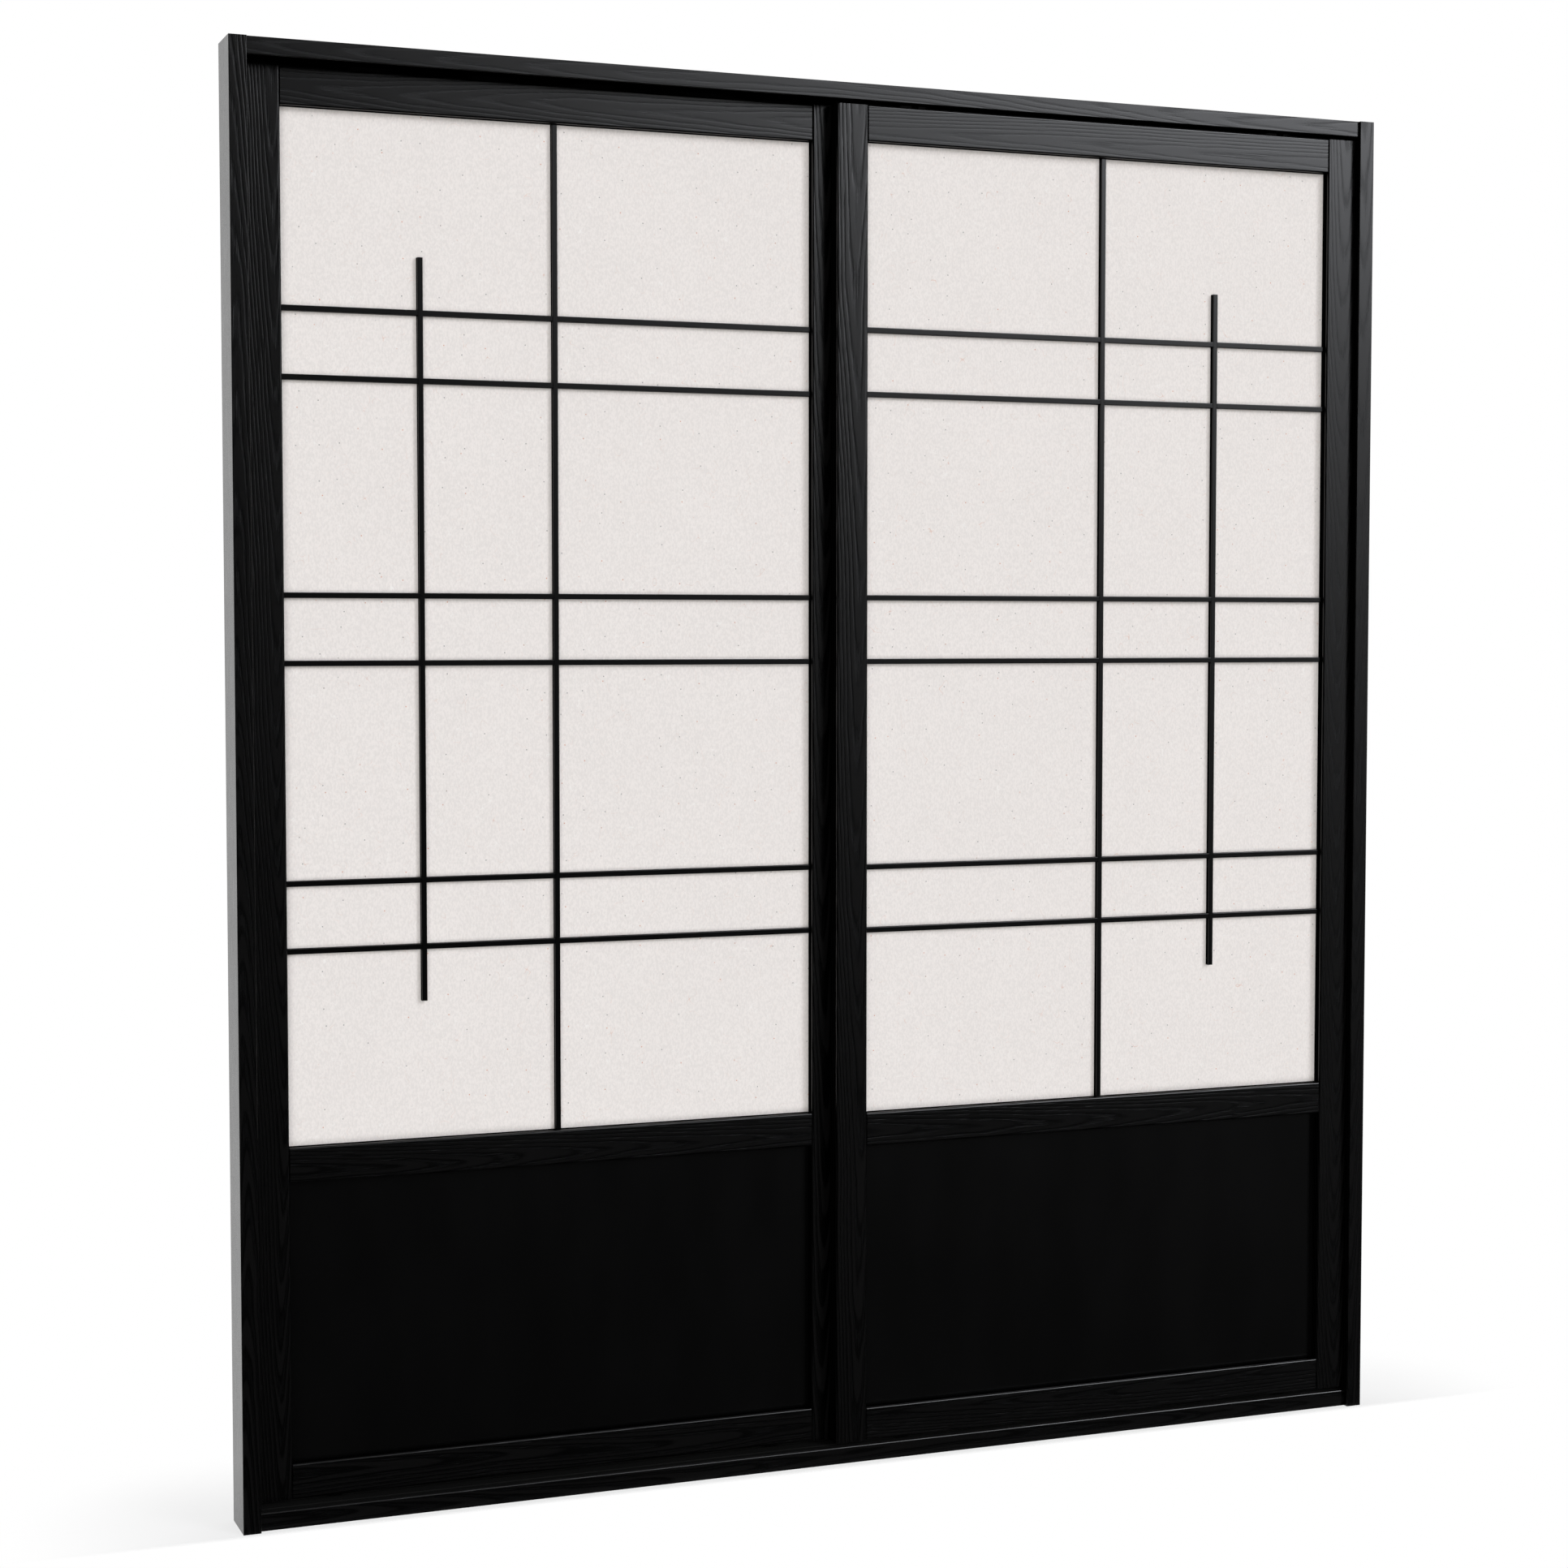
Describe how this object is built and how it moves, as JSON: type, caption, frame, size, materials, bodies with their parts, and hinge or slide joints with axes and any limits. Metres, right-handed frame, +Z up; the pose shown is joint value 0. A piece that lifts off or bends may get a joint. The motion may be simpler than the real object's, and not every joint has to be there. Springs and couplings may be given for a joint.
{
  "type": "sliding closet door pair",
  "caption": "Pair of sliding closet doors in a slim black frame: grained black stiles and rails, thin crossed bars over pale paper panels, flat lower panels",
  "frame": {"origin": "bottom centre of the whole frame's box, on the floor", "axes": "+Z up, +X to the right seen from the front, the front faces -Y"},
  "size_m": [1.8, 0.0734, 2.045],
  "materials": {
    "stained_wood": "satin black stain over open grain",
    "black_bar": "smooth satin black",
    "black_panel": "smooth satin black",
    "warm_paper": "matte, faint fibres",
    "divider_metal": "black anodised",
    "plain_wood": "unfinished",
    "nylon": "matte",
    "dark_plastic": "matte",
    "steel": "plain"
  },
  "bodies": {
    "frame": {"corner_dowels": "plain_wood", "head_board": "stained_wood", "head_fascia": "stained_wood", "head_rear_lip": "stained_wood", "left_jamb": "stained_wood", "right_jamb": "stained_wood", "sill": "stained_wood", "track_divider": "divider_metal"},
    "left_door": {"left_door_bottom_bead": "stained_wood", "left_door_bottom_rail": "stained_wood", "left_door_centre_bar": "black_bar", "left_door_cross_bar_1": "black_bar", "left_door_cross_bar_2": "black_bar", "left_door_cross_bar_3": "black_bar", "left_door_cross_bar_4": "black_bar", "left_door_cross_bar_5": "black_bar", "left_door_cross_bar_6": "black_bar", "left_door_inner_roller_housing": "dark_plastic", "left_door_lower_panel": "black_panel", "left_door_meeting_bead": "stained_wood", "left_door_meeting_stile": "stained_wood", "left_door_mid_rail": "stained_wood", "left_door_outer_bead": "stained_wood", "left_door_outer_roller_housing": "dark_plastic", "left_door_outer_stile": "stained_wood", "left_door_paper_panel": "warm_paper", "left_door_roller_axles": "steel", "left_door_roller_screws": "steel", "left_door_short_bar": "black_bar", "left_door_top_bead": "stained_wood", "left_door_top_guides": "dark_plastic", "left_door_top_rail": "stained_wood"},
    "left_door_outer_wheel": {"left_door_outer_wheel": "nylon"},
    "left_door_inner_wheel": {"left_door_inner_wheel": "nylon"},
    "right_door": {"right_door_bottom_bead": "stained_wood", "right_door_bottom_rail": "stained_wood", "right_door_centre_bar": "black_bar", "right_door_cross_bar_1": "black_bar", "right_door_cross_bar_2": "black_bar", "right_door_cross_bar_3": "black_bar", "right_door_cross_bar_4": "black_bar", "right_door_cross_bar_5": "black_bar", "right_door_cross_bar_6": "black_bar", "right_door_inner_roller_housing": "dark_plastic", "right_door_lower_panel": "black_panel", "right_door_meeting_bead": "stained_wood", "right_door_meeting_stile": "stained_wood", "right_door_mid_rail": "stained_wood", "right_door_outer_bead": "stained_wood", "right_door_outer_roller_housing": "dark_plastic", "right_door_outer_stile": "stained_wood", "right_door_paper_panel": "warm_paper", "right_door_roller_axles": "steel", "right_door_roller_screws": "steel", "right_door_short_bar": "black_bar", "right_door_top_bead": "stained_wood", "right_door_top_guides": "dark_plastic", "right_door_top_rail": "stained_wood"},
    "right_door_outer_wheel": {"right_door_outer_wheel": "nylon"},
    "right_door_inner_wheel": {"right_door_inner_wheel": "nylon"}
  },
  "joints": [
    {"name": "left_door_slide", "type": "slide", "parent": "frame", "child": "left_door", "axis": [1, 0, 0], "range_m": [-0.002, 0.862]},
    {"name": "right_door_slide", "type": "slide", "parent": "frame", "child": "right_door", "axis": [-1, 0, 0], "range_m": [0, 0.864]},
    {"name": "left_door_outer_wheel_spin", "type": "hinge", "parent": "left_door", "child": "left_door_outer_wheel", "pos_m": [-0.7605, 0.01695, 0.0347], "axis": [0, 1, 0], "range_deg": [-10, 3801]},
    {"name": "left_door_inner_wheel_spin", "type": "hinge", "parent": "left_door", "child": "left_door_inner_wheel", "pos_m": [-0.1, 0.01695, 0.0347], "axis": [0, 1, 0], "range_deg": [-10, 3801]},
    {"name": "right_door_outer_wheel_spin", "type": "hinge", "parent": "right_door", "child": "right_door_outer_wheel", "pos_m": [0.7625, -0.01155, 0.0347], "axis": [0, -1, 0], "range_deg": [0, 3809]},
    {"name": "right_door_inner_wheel_spin", "type": "hinge", "parent": "right_door", "child": "right_door_inner_wheel", "pos_m": [0.102, -0.01155, 0.0347], "axis": [0, -1, 0], "range_deg": [0, 3809]}
  ],
  "couplings": [
    {"joint": "left_door_outer_wheel_spin", "follows": "left_door_slide", "rad_per_m": 76.923},
    {"joint": "left_door_inner_wheel_spin", "follows": "left_door_slide", "rad_per_m": 76.923},
    {"joint": "right_door_outer_wheel_spin", "follows": "right_door_slide", "rad_per_m": 76.923},
    {"joint": "right_door_inner_wheel_spin", "follows": "right_door_slide", "rad_per_m": 76.923}
  ]
}
